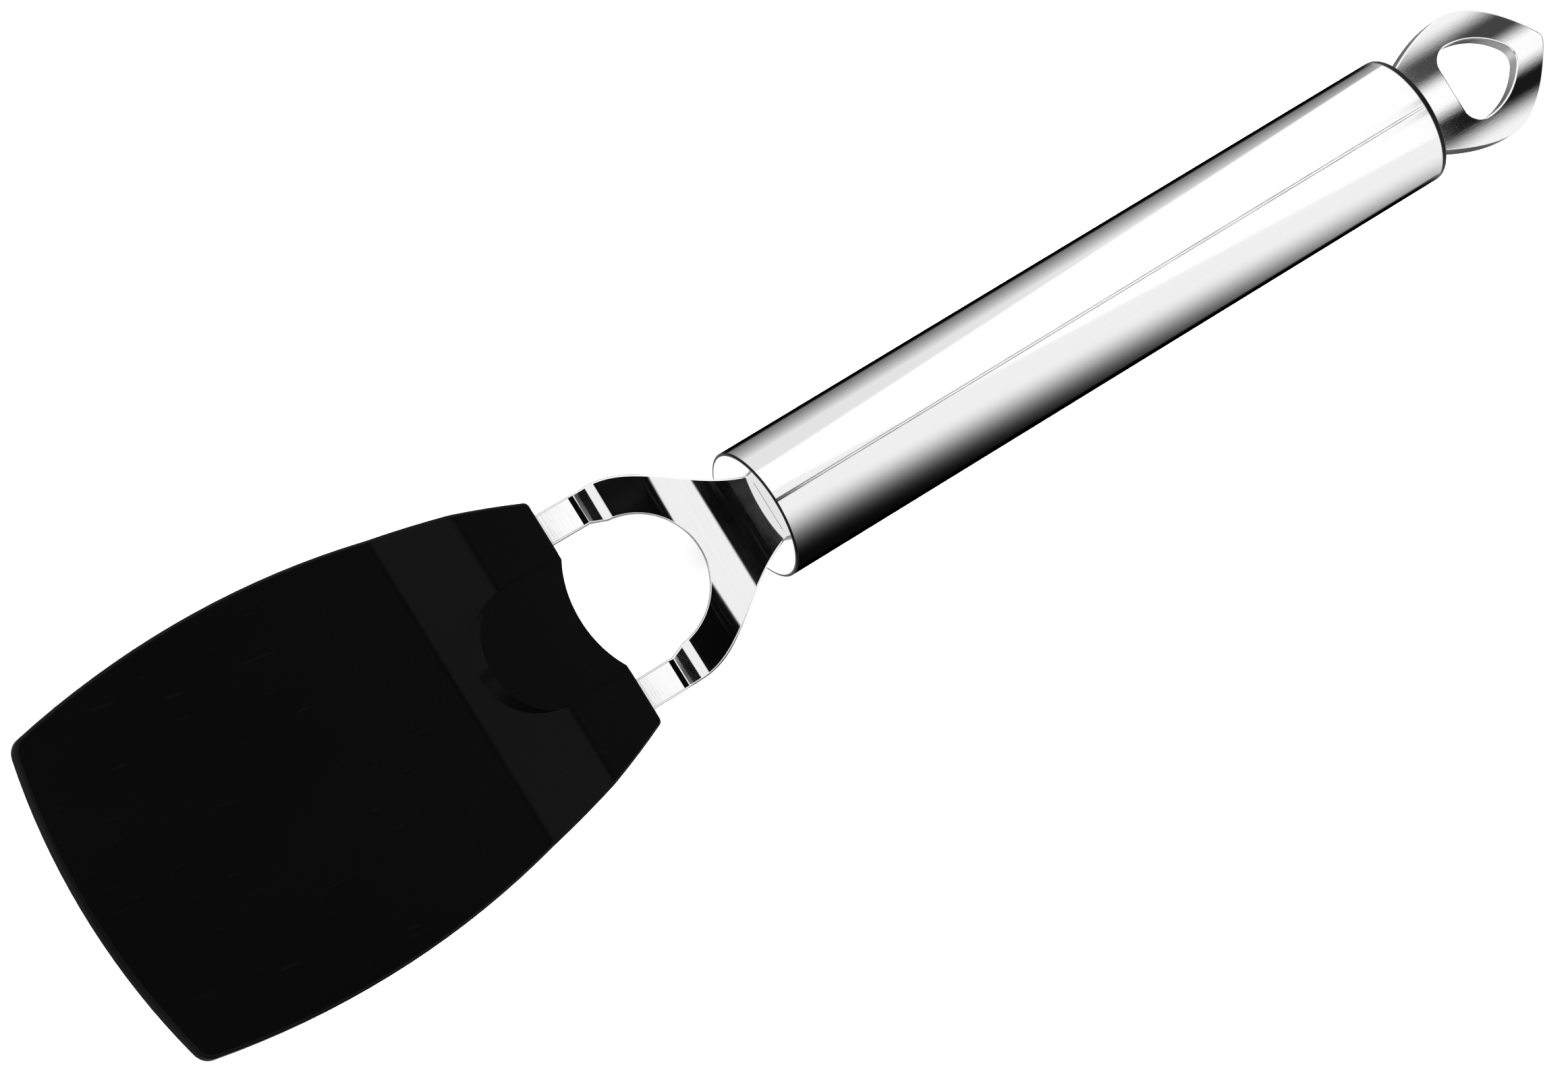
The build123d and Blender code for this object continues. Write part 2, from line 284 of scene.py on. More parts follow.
class StudioSettings(PropertyGroup):
    view_tilt: FloatProperty(
        name="View tilt",
        description="Angle between the line of sight and straight down",
        subtype="ANGLE",
        default=radians(40),
    )
    view_side: FloatProperty(
        name="View side",
        description="How far the camera stands to one side of the blade's middle line",
        subtype="ANGLE",
        default=radians(-0.65),
    )
    view_roll: FloatProperty(
        name="View roll",
        description="How far the camera is turned about its line of sight",
        subtype="ANGLE",
        default=radians(31.15),
    )
    view_distance: FloatProperty(
        name="View distance",
        description="Distance from the camera to the point it looks at",
        unit="LENGTH",
        default=1.2048,
    )
    lens: FloatProperty(
        name="Lens",
        description="Focal length of the camera in millimetres",
        min=10,
        max=1000,
        default=154.9,
    )
    aim_behind_blade: FloatProperty(
        name="Aim behind blade",
        description="How far behind the blade the camera looks",
        unit="LENGTH",
        default=0.0485,
    )
    aim_aside: FloatProperty(
        name="Aim aside",
        description="How far to one side of the middle line the camera looks",
        unit="LENGTH",
        default=-0.0055,
    )
    tent_radius: FloatProperty(
        name="Tent radius",
        description="Radius of the light tent that the steel reflects",
        unit="LENGTH",
        min=0.5,
        max=5,
        default=1.2,
    )
    tent_light: FloatProperty(
        name="Tent light",
        description="Brightness of the tent's white cloth",
        min=0,
        max=10,
        default=1.12,
    )
    soft_light: FloatProperty(
        name="Soft light",
        description="Brightness of the even light from all around",
        min=0,
        max=10,
        default=2.4,
    )
    key_power: FloatProperty(
        name="Key power",
        description="Power of the large soft lamp overhead",
        unit="POWER",
        min=0,
        max=500,
        default=9,
    )
    floor_colour: FloatVectorProperty(
        name="Floor",
        description="Colour of the pale floor",
        subtype="COLOR",
        size=3,
        min=0,
        max=1,
        default=(0.9, 0.9, 0.9),
    )


# ---- Small helpers for node trees ----


class Tree:
    """Adds nodes to a tree and joins them with short calls."""

    def __init__(self, tree):
        self.tree = tree
        self.count = 0

    def node(self, kind, settings=None, **inputs):
        made = self.tree.nodes.new(kind)
        made.location = (220 * (self.count % 12), -260 * (self.count // 12))
        self.count += 1
        for name, value in (settings or {}).items():
            setattr(made, name, value)
        for name, value in inputs.items():
            self.feed(made.inputs[name.replace("_", " ")], value)
        return made

    def feed(self, socket, value):
        if isinstance(value, bpy.types.NodeSocket):
            self.tree.links.new(value, socket)
        else:
            socket.default_value = value

    def math(self, operation, *values):
        made = self.node("ShaderNodeMath", {"operation": operation})
        for socket, value in zip(made.inputs, values):
            self.feed(socket, value)
        return made.outputs[0]

    def vector(self, operation, *values):
        made = self.node("ShaderNodeVectorMath", {"operation": operation})
        for socket, value in zip(made.inputs, values):
            self.feed(socket, value)
        return made.outputs["Value" if operation in ("DOT_PRODUCT", "LENGTH") else "Vector"]

    def step(self, value, low, high):
        """0 below low, 1 above high and a smooth rise between them. High may be the smaller one."""
        made = self.node("ShaderNodeMapRange", {"interpolation_type": "SMOOTHSTEP"})
        for name, given in (("Value", value), ("From Min", low), ("From Max", high)):
            self.feed(made.inputs[name], given)
        return made.outputs["Result"]

    def blend(self, share, first, second):
        """first where share is 0 and second where it is 1."""
        made = self.node("ShaderNodeMapRange")
        for name, given in (("Value", share), ("To Min", first), ("To Max", second)):
            self.feed(made.inputs[name], given)
        return made.outputs["Result"]

    def band(self, value, clear_low, full_low, full_high, clear_high):
        """1 between the full limits, with a smooth fall to 0 at the clear ones."""
        rise = self.step(value, clear_low, full_low)
        return self.math("MULTIPLY", rise, self.step(value, clear_high, full_high))

    def product(self, *values):
        total = values[0]
        for value in values[1:]:
            total = self.math("MULTIPLY", total, value)
        return total

    def scaled(self, colour, share):
        """The colour times the share."""
        made = self.node("ShaderNodeVectorMath", {"operation": "SCALE"}, Scale=share)
        self.feed(made.inputs[0], colour)
        return made.outputs[0]

    def mixed(self, share, first, second):
        """The first colour where share is 0 and the second where it is 1."""
        made = self.node("ShaderNodeMix", {"data_type": "RGBA"})
        self.feed(made.inputs[0], share)
        self.feed(made.inputs[6], (*first, 1))
        self.feed(made.inputs[7], (*second, 1))
        return made.outputs[2]

    def grey(self, value):
        made = self.node("ShaderNodeCombineColor")
        for socket in made.inputs[:3]:
            self.feed(socket, value)
        return made.outputs[0]

    def own_place(self, turn=(0, 0, 0), scale=(1, 1, 1)):
        """The point on the piece, turned and scaled so that a pattern can be stretched."""
        at = self.node("ShaderNodeTexCoord").outputs["Object"]
        turned = self.node("ShaderNodeMapping", Vector=at, Rotation=turn)
        return self.node("ShaderNodeMapping", Vector=turned.outputs[0], Scale=scale).outputs[0]

    def noise(self, place, scale, detail=3.0, roughness=0.5):
        made = self.node(
            "ShaderNodeTexNoise", Vector=place, Scale=scale, Detail=detail, Roughness=roughness
        )
        return made.outputs["Fac"]

    def bump(self, height, distance, strength=1.0, normal=None):
        made = self.node("ShaderNodeBump", Height=height, Strength=strength, Distance=distance)
        if normal is not None:
            self.feed(made.inputs["Normal"], normal)
        return made.outputs["Normal"]


def new_material(name, metallic, specular=0.5):
    """A material with a plain shader, and its tree."""
    made = bpy.data.materials.new(name)
    made.use_nodes = True
    made.node_tree.nodes.clear()
    tree = Tree(made.node_tree)
    shader = tree.node("ShaderNodeBsdfPrincipled")
    shader.inputs["Metallic"].default_value = metallic
    shader.inputs["Specular IOR Level"].default_value = specular
    output = tree.node("ShaderNodeOutputMaterial")
    made.node_tree.links.new(shader.outputs[0], output.inputs[0])
    return made, tree, shader


# ---- Materials ----

# Bump depths in metres
FORK_LINE_DEPTH = 0.0000012
RING_LINE_DEPTH = 0.0000015
HANDLE_LINE_DEPTH = 0.0000008
CAP_RING_DEPTH = 0.000002
WELD_SPOT_DEPTH = 0.00001

# How a ring's cut edge differs from its polished face
CUT_EDGE_ROUGHNESS = 0.4
CUT_EDGE_SHADE = 0.85

# Bands at the tube's two rims, painted near black as shade, and how softly the bands end, in metres
RIM_BAND_ROUGHNESS = 0.3
PAINTED_RIM_SHADE = 0.02
REAR_BAND_FADE = 0.0001
FRONT_BAND_FADE = 0.00005

GROUND_METAL = (0.62, 0.62, 0.63)
STRAW_TINT = (0.6, 0.57, 0.52)


def nylon(looks):
    """Moulded nylon with a low sheen, faint flow marks, fine grain and light scratches, and rims lightened
    in patches, partly as wear and partly as a painted highlight.
    """
    made, tree, shader = new_material("black nylon", 0.0, 0.08)
    place = tree.own_place()
    grain = tree.noise(place, 1 / looks.grain_size, 2.0)
    flow = tree.noise(tree.own_place(scale=(0.35, 1, 1)), 38.0, 3.0)
    scratches = tree.noise(tree.own_place(turn=(0, 0, radians(7)), scale=(1, 16, 1)), 90.0, 4.0)
    scratch = tree.step(scratches, 0.66, 0.74)
    apart = tree.node("ShaderNodeSeparateXYZ", Vector=place)
    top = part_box("blade")[0].z + looks.sheet
    depth = looks.edge_wear_and_highlight_depth
    # Rims lightened in patches: partly wear, partly a painted highlight along the rounded edges.
    rim = tree.step(apart.outputs["Z"], top - depth / 4, top - depth)
    scuffed_and_highlit = tree.math("MULTIPLY", rim, tree.step(flow, 0.3, 0.6))
    colour = tree.mixed(scuffed_and_highlit, looks.colour, looks.worn_and_highlight_colour)
    tree.feed(shader.inputs["Base Color"], colour)
    rough = tree.blend(flow, looks.sheen_roughness - 0.05, looks.sheen_roughness + 0.06)
    rough = tree.math("ADD", rough, tree.math("MULTIPLY", scratch, 0.1))
    rough = tree.math("ADD", rough, tree.math("MULTIPLY", scuffed_and_highlit, 0.15))
    tree.feed(shader.inputs["Roughness"], rough)
    height = tree.math("SUBTRACT", grain, tree.math("MULTIPLY", scratch, 0.6))
    tree.feed(shader.inputs["Normal"], tree.bump(height, looks.grain_depth))
    return made


def mirror_steel(looks):
    """Mirror-polished steel of the fork, with faint polishing lines across it and a few handling marks."""
    made, tree, shader = new_material("mirror steel", 1.0)
    lines = tree.noise(tree.own_place(scale=(1, 0.03, 1)), 0.5 / looks.grain_size, 2.0)
    clouds = tree.noise(tree.own_place(), 140.0, 3.0)
    hairs = tree.noise(tree.own_place(turn=(0, 0, radians(64)), scale=(1, 20, 1)), 120.0, 3.0)
    hair = tree.step(hairs, 0.67, 0.75)
    rough = tree.blend(clouds, looks.polish - 0.015, looks.polish + 0.035)
    rough = tree.math("ADD", rough, tree.math("MULTIPLY", hair, 0.05))
    tree.feed(shader.inputs["Roughness"], rough)
    shade = tree.blend(lines, 0.96, 1.02)
    tree.feed(shader.inputs["Base Color"], tree.scaled(looks.colour, shade))
    tree.feed(shader.inputs["Normal"], tree.bump(lines, FORK_LINE_DEPTH))
    return made


def ring_steel(looks, line):
    """The ring's steel: two flat faces that buffing has crowned slightly, and duller cut edges."""
    made, tree, shader = new_material("buffed ring steel", 1.0)
    place = tree.own_place()
    apart = tree.node("ShaderNodeSeparateXYZ", Vector=place)
    half_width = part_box("hanging_ring")[1].y
    across = tree.math("DIVIDE", apart.outputs["Y"], half_width)
    crown = tree.math("MULTIPLY", tree.math("MULTIPLY", across, across), -1.0)
    crowned = tree.bump(crown, looks.ring_crown)
    facing = tree.node("ShaderNodeNewGeometry").outputs["Normal"]
    facing = tree.math("ABSOLUTE", tree.vector("DOT_PRODUCT", facing, tuple(line.up)))
    cut = tree.step(facing, 0.75, 0.35)
    grain = tree.noise(tree.own_place(scale=(0.05, 1, 1)), 0.6 / looks.grain_size, 2.0)
    clouds = tree.noise(place, 160.0, 3.0)
    polished = tree.blend(clouds, looks.polish - 0.01, looks.polish + 0.015)
    tree.feed(shader.inputs["Roughness"], tree.blend(cut, polished, CUT_EDGE_ROUGHNESS))
    shade = tree.blend(cut, 1.0, CUT_EDGE_SHADE)
    tree.feed(shader.inputs["Base Color"], tree.scaled(looks.colour, shade))
    tree.feed(shader.inputs["Normal"], tree.bump(grain, RING_LINE_DEPTH, normal=crowned))
    return made


def handle_steel(looks, line, tilt):
    """The handle's polish: fine lines along the tube and soft clouds, with a near-black band painted as
    shade at each rim.
    """
    made, tree, shader = new_material("polished handle steel", 1.0)
    stretched = tree.own_place(turn=(0, tilt, 0), scale=(0.02, 1, 1))
    lines = tree.noise(stretched, 1 / looks.grain_size, 3.0, 0.6)
    clouds = tree.noise(tree.own_place(), 60.0, 3.0)
    rough = tree.blend(clouds, looks.handle_polish - 0.012, looks.handle_polish + 0.012)
    rough = tree.math("ADD", rough, tree.math("MULTIPLY", lines, 0.012))
    from_front = tree.vector("SUBTRACT", tree.own_place(), tuple(line.front))
    run = tree.vector("DOT_PRODUCT", from_front, tuple(line.along))
    front = looks.front_shade_band
    rear = line.length - looks.rear_shade_band
    # Near-black colour painted as shade on narrow bands at both rims, with a duller roughness.
    shaded_rims = tree.math(
        "MAXIMUM",
        tree.step(run, rear - REAR_BAND_FADE, rear + REAR_BAND_FADE),
        tree.step(run, front + FRONT_BAND_FADE, front - FRONT_BAND_FADE),
    )
    tree.feed(shader.inputs["Roughness"], tree.blend(shaded_rims, rough, RIM_BAND_ROUGHNESS))
    shade = tree.blend(shaded_rims, tree.blend(lines, 0.975, 1.015), PAINTED_RIM_SHADE)
    tree.feed(shader.inputs["Base Color"], tree.scaled(looks.colour, shade))
    tree.feed(shader.inputs["Normal"], tree.bump(lines, HANDLE_LINE_DEPTH))
    return made


def cap_steel(looks, line):
    """The caps' steel, faced in a lathe, so its fine lines are rings about the handle's axis."""
    made, tree, shader = new_material("faced cap steel", 1.0)
    place = tree.own_place()
    from_axis = tree.vector("SUBTRACT", place, tuple(line.front))
    height = tree.vector("DOT_PRODUCT", from_axis, tuple(line.up))
    aside = tree.node("ShaderNodeSeparateXYZ", Vector=place).outputs["Y"]
    squares = [tree.math("MULTIPLY", part, part) for part in (height, aside)]
    distance = tree.math("SQRT", tree.math("ADD", *squares))
    from_centre = tree.node("ShaderNodeCombineXYZ", X=distance)
    rings = tree.noise(from_centre.outputs[0], 1 / looks.grain_size, 3.0)
    tree.feed(shader.inputs["Roughness"], tree.blend(rings, 0.09, 0.13))
    tree.feed(shader.inputs["Base Color"], (*looks.colour, 1))
    tree.feed(shader.inputs["Normal"], tree.bump(rings, CAP_RING_DEPTH))
    return made


def weld_steel(looks):
    """Ground weld metal: duller, and slightly straw coloured where the heat has been."""
    made, tree, shader = new_material("ground weld steel", 1.0)
    spots = tree.noise(tree.own_place(), 900.0, 3.0)
    heat = tree.noise(tree.own_place(), 240.0, 2.0)
    tree.feed(shader.inputs["Base Color"], tree.mixed(heat, GROUND_METAL, STRAW_TINT))
    tree.feed(shader.inputs["Roughness"], tree.blend(spots, 0.22, 0.4))
    tree.feed(shader.inputs["Normal"], tree.bump(spots, WELD_SPOT_DEPTH))
    return made


def finish_node(node, material):
    """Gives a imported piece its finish."""
    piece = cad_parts[node]
    for slot in piece.material_slots:
        slot.material = material
    return piece


# ---- The handle tube, turned from its wall's outline ----

ROUNDING_STEPS = 8
MERGE_DISTANCE = 0.000001
SHARP_ANGLE = radians(20)


def tube_tree():
    """A tree that draws the wall's outline, rounds its two rims and turns it about the axis."""
    group = bpy.data.node_groups.new("turned tube", "GeometryNodeTree")
    sizes = ("Length", "Radius", "Wall", "Front rounding", "Rear rounding", "Groove depth", "Guard")
    for name in sizes:
        group.interface.new_socket(name, in_out="INPUT", socket_type="NodeSocketFloat")
    group.interface.new_socket("Facets", in_out="INPUT", socket_type="NodeSocketInt")
    group.interface.new_socket("Finish", in_out="INPUT", socket_type="NodeSocketMaterial")
    group.interface.new_socket("Tube", in_out="OUTPUT", socket_type="NodeSocketGeometry")
    tree = Tree(group)
    given = tree.node("NodeGroupInput").outputs
    number = tree.node("GeometryNodeInputIndex").outputs[0]
    bore = tree.math("MULTIPLY", given["Wall"], -1.0)
    mouth = tree.math("ADD", bore, tree.math("MULTIPLY", given["Groove depth"], 0.5))
    groove_end = tree.math("SUBTRACT", given["Length"], given["Groove depth"])
    front_guard = tree.math("ADD", given["Front rounding"], given["Guard"])
    rear_guard = tree.math("ADD", given["Rear rounding"], given["Guard"])
    rear_guard = tree.math("SUBTRACT", given["Length"], rear_guard)
    corners = (
        (mouth, 0.0),
        (0.0, 0.0),
        (0.0, front_guard),
        (0.0, rear_guard),
        (0.0, given["Length"]),
        (mouth, given["Length"]),
        (bore, groove_end),
        (bore, given["Groove depth"]),
    )
    corner = tree.node("GeometryNodeIndexSwitch", {"data_type": "VECTOR"}, Index=number)
    rounding = tree.node("GeometryNodeIndexSwitch", {"data_type": "FLOAT"}, Index=number)
    for switch in (corner, rounding):
        while len(switch.index_switch_items) < len(corners):
            switch.index_switch_items.new()
    for place, (aside, run) in enumerate(corners):
        back_along = tree.math("MULTIPLY", run, -1.0)
        point = tree.node("ShaderNodeCombineXYZ", X=aside, Y=back_along)
        tree.feed(corner.inputs[str(place)], point.outputs[0])
    tree.feed(rounding.inputs["1"], given["Front rounding"])
    tree.feed(rounding.inputs["4"], given["Rear rounding"])
    outline = tree.node("GeometryNodeCurvePrimitiveCircle", Resolution=len(corners)).outputs["Curve"]
    placed = tree.node("GeometryNodeSetPosition", Geometry=outline, Position=corner.outputs[0])
    outline = placed.outputs[0]
    rounded = tree.node(
        "GeometryNodeFilletCurve",
        {"mode": "POLY"},
        Curve=outline,
        Radius=rounding.outputs[0],
        Count=ROUNDING_STEPS,
    )
    rail = tree.node(
        "GeometryNodeCurvePrimitiveCircle", Resolution=given["Facets"], Radius=given["Radius"]
    )
    turned = tree.node(
        "GeometryNodeCurveToMesh", Curve=rail.outputs["Curve"], Profile_Curve=rounded.outputs[0]
    )
    whole = tree.node("GeometryNodeRealizeInstances", Geometry=turned.outputs[0]).outputs[0]
    finished = tree.node("GeometryNodeSetMaterial", Geometry=whole, Material=given["Finish"])
    output = tree.node("NodeGroupOutput")
    group.links.new(finished.outputs[0], output.inputs[0])
    return group


def made_by(group, name, values):
    """An object that holds the plain mesh a tree makes with these inputs."""
    holder = bpy.data.objects.new(name, bpy.data.meshes.new(name))
    bpy.context.scene.collection.objects.link(holder)
    modifier = holder.modifiers.new(name, "NODES")
    modifier.node_group = group
    for socket in group.interface.items_tree:
        if socket.in_out == "INPUT":
            modifier[socket.identifier] = values[socket.name]
    bpy.context.view_layer.update()
    seen = holder.evaluated_get(bpy.context.evaluated_depsgraph_get())
    mesh = bpy.data.meshes.new_from_object(seen)
    holder.modifiers.clear()
    holder.data = mesh
    return holder


def close_and_face_outwards(mesh):
    """Merges doubles, turns every face outwards and shades all but the sharp corners smooth."""
    edit = bmesh.new()
    edit.from_mesh(mesh)
    bmesh.ops.remove_doubles(edit, verts=edit.verts, dist=MERGE_DISTANCE)
    bmesh.ops.recalc_face_normals(edit, faces=edit.faces)
    edit.to_mesh(mesh)
    edit.free()
    mesh.shade_smooth()
    mesh.set_sharp_from_angle(angle=SHARP_ANGLE)


class SPATULA_OT_handle_tube(Operator):
    """Turn the handle's tube and give it its polish"""

    bl_idname = "spatula.handle_tube"
    bl_label = "Handle tube"

    def execute(self, context):
        sizes = context.scene.spatula_handle
        line = HandleLine(sizes.tilt)
        values = {
            "Length": line.length,
            "Radius": line.radius,
            "Wall": sizes.wall,
            "Front rounding": sizes.front_rounding,
            "Rear rounding": sizes.rear_rounding,
            "Groove depth": sizes.seam_depth,
            "Guard": sizes.shading_guard,
            "Facets": sizes.facets,
            "Finish": handle_steel(context.scene.spatula_steel, line, sizes.tilt),
        }
        tube = made_by(tube_tree(), "turned_handle_tube", values)
        if not tube.data.polygons:
            raise RuntimeError("the tube's tree made no faces")
        tube.data.transform(line.placed())
        close_and_face_outwards(tube.data)
        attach(tube, BODY)
        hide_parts("handle_tube")
        return {"FINISHED"}


class SPATULA_OT_blade(Operator):
    """Give the blade its moulded nylon finish"""

    bl_idname = "spatula.blade"
    bl_label = "Blade"

    def execute(self, context):
        finish_node("blade", nylon(context.scene.spatula_nylon))
        return {"FINISHED"}


class SPATULA_OT_fork(Operator):
    """Give the fork its mirror polish"""

    bl_idname = "spatula.fork"
    bl_label = "Fork"

    def execute(self, context):
        finish_node("fork", mirror_steel(context.scene.spatula_steel))
        return {"FINISHED"}


class SPATULA_OT_caps(Operator):
    """Give the two caps and the welds that hold them their finishes"""

    bl_idname = "spatula.caps"
    bl_label = "Caps and welds"

    def execute(self, context):
        looks = context.scene.spatula_steel
        line = HandleLine(context.scene.spatula_handle.tilt)
        faced = cap_steel(looks, line)
        welded = weld_steel(looks)
        for node in ("front_cap", "rear_cap", "front_seam_weld", "rear_seam_weld"):
            finish_node(node, faced)
        for node in ("tang_weld", "ring_weld"):
            finish_node(node, welded)
        return {"FINISHED"}


class SPATULA_OT_ring(Operator):
    """Give the hanging ring its buffed finish"""

    bl_idname = "spatula.ring"
    bl_label = "Hanging ring"

    def execute(self, context):
        line = HandleLine(context.scene.spatula_handle.tilt)
        finish_node("hanging_ring", ring_steel(context.scene.spatula_steel, line))
        return {"FINISHED"}


# ---- Stage ----

PAPER_ROUGHNESS = 0.9
FLOOR_REACH = 6.0
FLOOR_GAP = 0.00002
SOFTBOX_WIDTH = 0.9
SOFTBOX_PLACE = (0.1, 0.15, 1.1)
SOFTBOX_TURN = radians(-8)
TENT_RINGS, TENT_SIDES = 48, 96

# The panels that the handle reflects, at its front and at its rear. Edges are shares of the tube's radius.
LOWER_EDGES = (-0.17, -0.69)
LOWER_FADE = 0.7
LOWER_SHADES = (0.935, 0.07)
WHITE_EDGES = (0.14, -0.49)
UPPER_EDGES = (0.5, 0.845)
UPPER_FALL = {"From Min": 0.72, "From Max": 0.95, "To Min": 0.886, "To Max": 0.42}
PANEL_FADE = 0.012
OUTLINE_EDGE = (0.93, 0.965)
OUTLINE_SHADE = 0.02
SHADE_GAMMA = 2.2

# The stripes that the ring reflects. Places are degrees round the handle's axis.
RING_MIDDLE = 1.1
RING_WHITE_EDGE = (2.0, 8.0)
RING_SIDE_EDGE = (11.5, 19.0)
RING_WHITE = 1.1
RING_DARKS = (0.008, 0.06)

# Where the tent's other panels lie, seen from the handle's front. Angles are in degrees, and distances to
# one side in metres. A band fades in over its first two numbers and out over its last two. An edge fades in
# from its first number to its second.
HANDLE_FROM_AXIS = {"From Min": 68.5, "From Max": 56.0}
PANEL_MIDDLE = 0.019
UNDER_FROM_AXIS = (74.0, 80.0)
UNDER_UP = (0.0, -0.2)
UNDER_LIGHT = 0.42
RING_FROM_AXIS = (56.25, 56.05)
BLADE_FROM_AXIS = (22.0, 28.0, 52.8, 53.2)
BLADE_ASIDE = (0.34, 0.24)
TINES_LEAN = (-43.0, -41.0, -37.15, -36.85)
TINES_ASIDE = (0.075, 0.06)
NECK_LEAN = (-2.9, -2.6, 23.0, 25.0)
NECK_ASIDE = (0.062, 0.054)
BENDS_LEAN = (-15.2, -14.9, 23.0, 25.0)
BENDS_ASIDE = (0.0245, 0.0265, 0.043, 0.045)
ARMS_LEAN = (49.5, 51.5, 80.0, 88.0)
ARMS_ASIDE = (0.2, 0.12)
BLACK_CLOTH = 0.002
FOLD_LIGHT = 0.02
FOLD_EDGE = (0.52, 0.72)
LOW_DISC = (-0.955, -0.985)


def stage_mesh(name, points, faces, material):
    mesh = bpy.data.meshes.new(name)
    mesh.from_pydata(points, [], faces)
    mesh.materials.append(material)
    piece = bpy.data.objects.new(name, mesh)
    bpy.context.scene.collection.objects.link(piece)
    return piece


def floor_cloth(settings):
    """Pale, even, slightly uneven paper for the floor."""
    made, tree, shader = new_material("pale floor paper", 0.0, 0.1)
    fibres = tree.noise(tree.own_place(), 30.0, 3.0)
    shade = tree.blend(fibres, 0.995, 1.0)
    tree.feed(shader.inputs["Base Color"], tree.scaled(settings.floor_colour, shade))
    shader.inputs["Roughness"].default_value = PAPER_ROUGHNESS
    return made


def handle_panels(tree, round_axis, back):
    """The cloth that the handle reflects, from its lower edge to its upper one, as shades from 0 to 1.

    Across the tube a point at p times its radius sees the cloth at twice arcsin p round the axis.
    The panels' edges move as back goes from 0, at the handle's front, to 1, at its rear.
    """
    half = tree.math("MULTIPLY", round_axis, radians(0.5))
    across = tree.math("SINE", half)
    below = tree.math("SUBTRACT", tree.blend(back, *LOWER_EDGES), across)
    shade = tree.blend(tree.step(below, 0.0, LOWER_FADE), *LOWER_SHADES)
    upper = tree.node("ShaderNodeMapRange", Value=across)
    for name, value in UPPER_FALL.items():
        upper.inputs[name].default_value = value
    for edges, beyond in ((WHITE_EDGES, 1.0), (UPPER_EDGES, upper.outputs["Result"])):
        edge = tree.blend(back, *edges)
        past = tree.math("ADD", edge, PANEL_FADE)
        shade = tree.blend(tree.step(across, edge, past), shade, beyond)
    size = tree.math("ABSOLUTE", across)
    return tree.blend(tree.step(size, *OUTLINE_EDGE), shade, OUTLINE_SHADE)


def ring_panels(tree, round_axis):
    """The stripes that the crowned ring reflects: white in the middle, dark, and light at both sides."""
    aside = tree.math("SUBTRACT", round_axis, RING_MIDDLE)
    size = tree.math("ABSOLUTE", aside)
    dark = tree.blend(tree.math("GREATER_THAN", aside, 0.0), *RING_DARKS)
    light = tree.blend(tree.step(size, *RING_WHITE_EDGE), RING_WHITE, dark)
    return tree.blend(tree.step(size, *RING_SIDE_EDGE), light, 1.0)


def fork_panels(tree, lean, aside):
    """Where the dark cloth is that the neck, the bends and the arms reflect."""
    over_neck = tree.band(lean, *NECK_LEAN)
    over_bends = tree.product(tree.band(lean, *BENDS_LEAN), tree.band(aside, *BENDS_ASIDE))
    over_neck = tree.math("MAXIMUM", over_neck, over_bends)
    over_neck = tree.product(over_neck, tree.step(aside, *NECK_ASIDE))
    before_arms = tree.product(tree.band(lean, *ARMS_LEAN), tree.step(aside, *ARMS_ASIDE))
    return over_neck, before_arms


def tent_cloth(settings, line):
    """The light tent's cloth, white with darker panels, laid out about the handle's axis."""
    made = bpy.data.materials.new("light tent cloth")
    made.use_nodes = True
    made.node_tree.nodes.clear()
    tree = Tree(made.node_tree)
    at = tree.node("ShaderNodeTexCoord").outputs["Object"]
    way = tree.vector("NORMALIZE", tree.vector("SUBTRACT", at, tuple(line.front)))
    apart = tree.node("ShaderNodeSeparateXYZ", Vector=way)
    x, y, z = (apart.outputs[name] for name in "XYZ")
    up = tree.vector("DOT_PRODUCT", way, tuple(line.up))
    along = tree.vector("DOT_PRODUCT", way, tuple(line.along))
    degrees = 180 / pi
    round_axis = tree.math("MULTIPLY", tree.math("ARCTAN2", y, up), degrees)
    from_axis = tree.math("MULTIPLY", tree.math("ARCCOSINE", along), degrees)
    back = tree.node("ShaderNodeMapRange", Value=from_axis)
    for name, value in HANDLE_FROM_AXIS.items():
        back.inputs[name].default_value = value
    forwards = tree.math("MULTIPLY", x, -1.0)
    lean = tree.math("MULTIPLY", tree.math("ARCTAN2", forwards, z), degrees)
    aside = tree.math("MULTIPLY", y, settings.tent_radius)
    aside = tree.math("ABSOLUTE", tree.math("SUBTRACT", aside, PANEL_MIDDLE))
    white = settings.tent_light

    shade = handle_panels(tree, round_axis, back.outputs["Result"])
    light = tree.math("MULTIPLY", tree.math("POWER", shade, SHADE_GAMMA), white)
    under = tree.product(tree.step(from_axis, *UNDER_FROM_AXIS), tree.step(up, *UNDER_UP))
    light = tree.blend(under, light, UNDER_LIGHT)
    light = tree.blend(tree.step(from_axis, *RING_FROM_AXIS), light, ring_panels(tree, round_axis))
    over_blade = tree.product(tree.band(from_axis, *BLADE_FROM_AXIS), tree.step(aside, *BLADE_ASIDE))
    light = tree.blend(over_blade, light, BLACK_CLOTH)
    over_tines = tree.product(tree.band(lean, *TINES_LEAN), tree.step(aside, *TINES_ASIDE))
    light = tree.blend(over_tines, light, white)
    folds = tree.noise(tree.vector("MULTIPLY", way, (1, 5, 1)), 22.0, 3.0)
    dark = tree.blend(tree.step(folds, *FOLD_EDGE), BLACK_CLOTH, FOLD_LIGHT)
    for panel in fork_panels(tree, lean, aside):
        light = tree.blend(panel, light, dark)
    light = tree.blend(tree.step(z, *LOW_DISC), light, white)

    glow = tree.node("ShaderNodeEmission", Color=tree.grey(light))
    output = tree.node("ShaderNodeOutputMaterial")
    made.node_tree.links.new(glow.outputs[0], output.inputs[0])
    return made


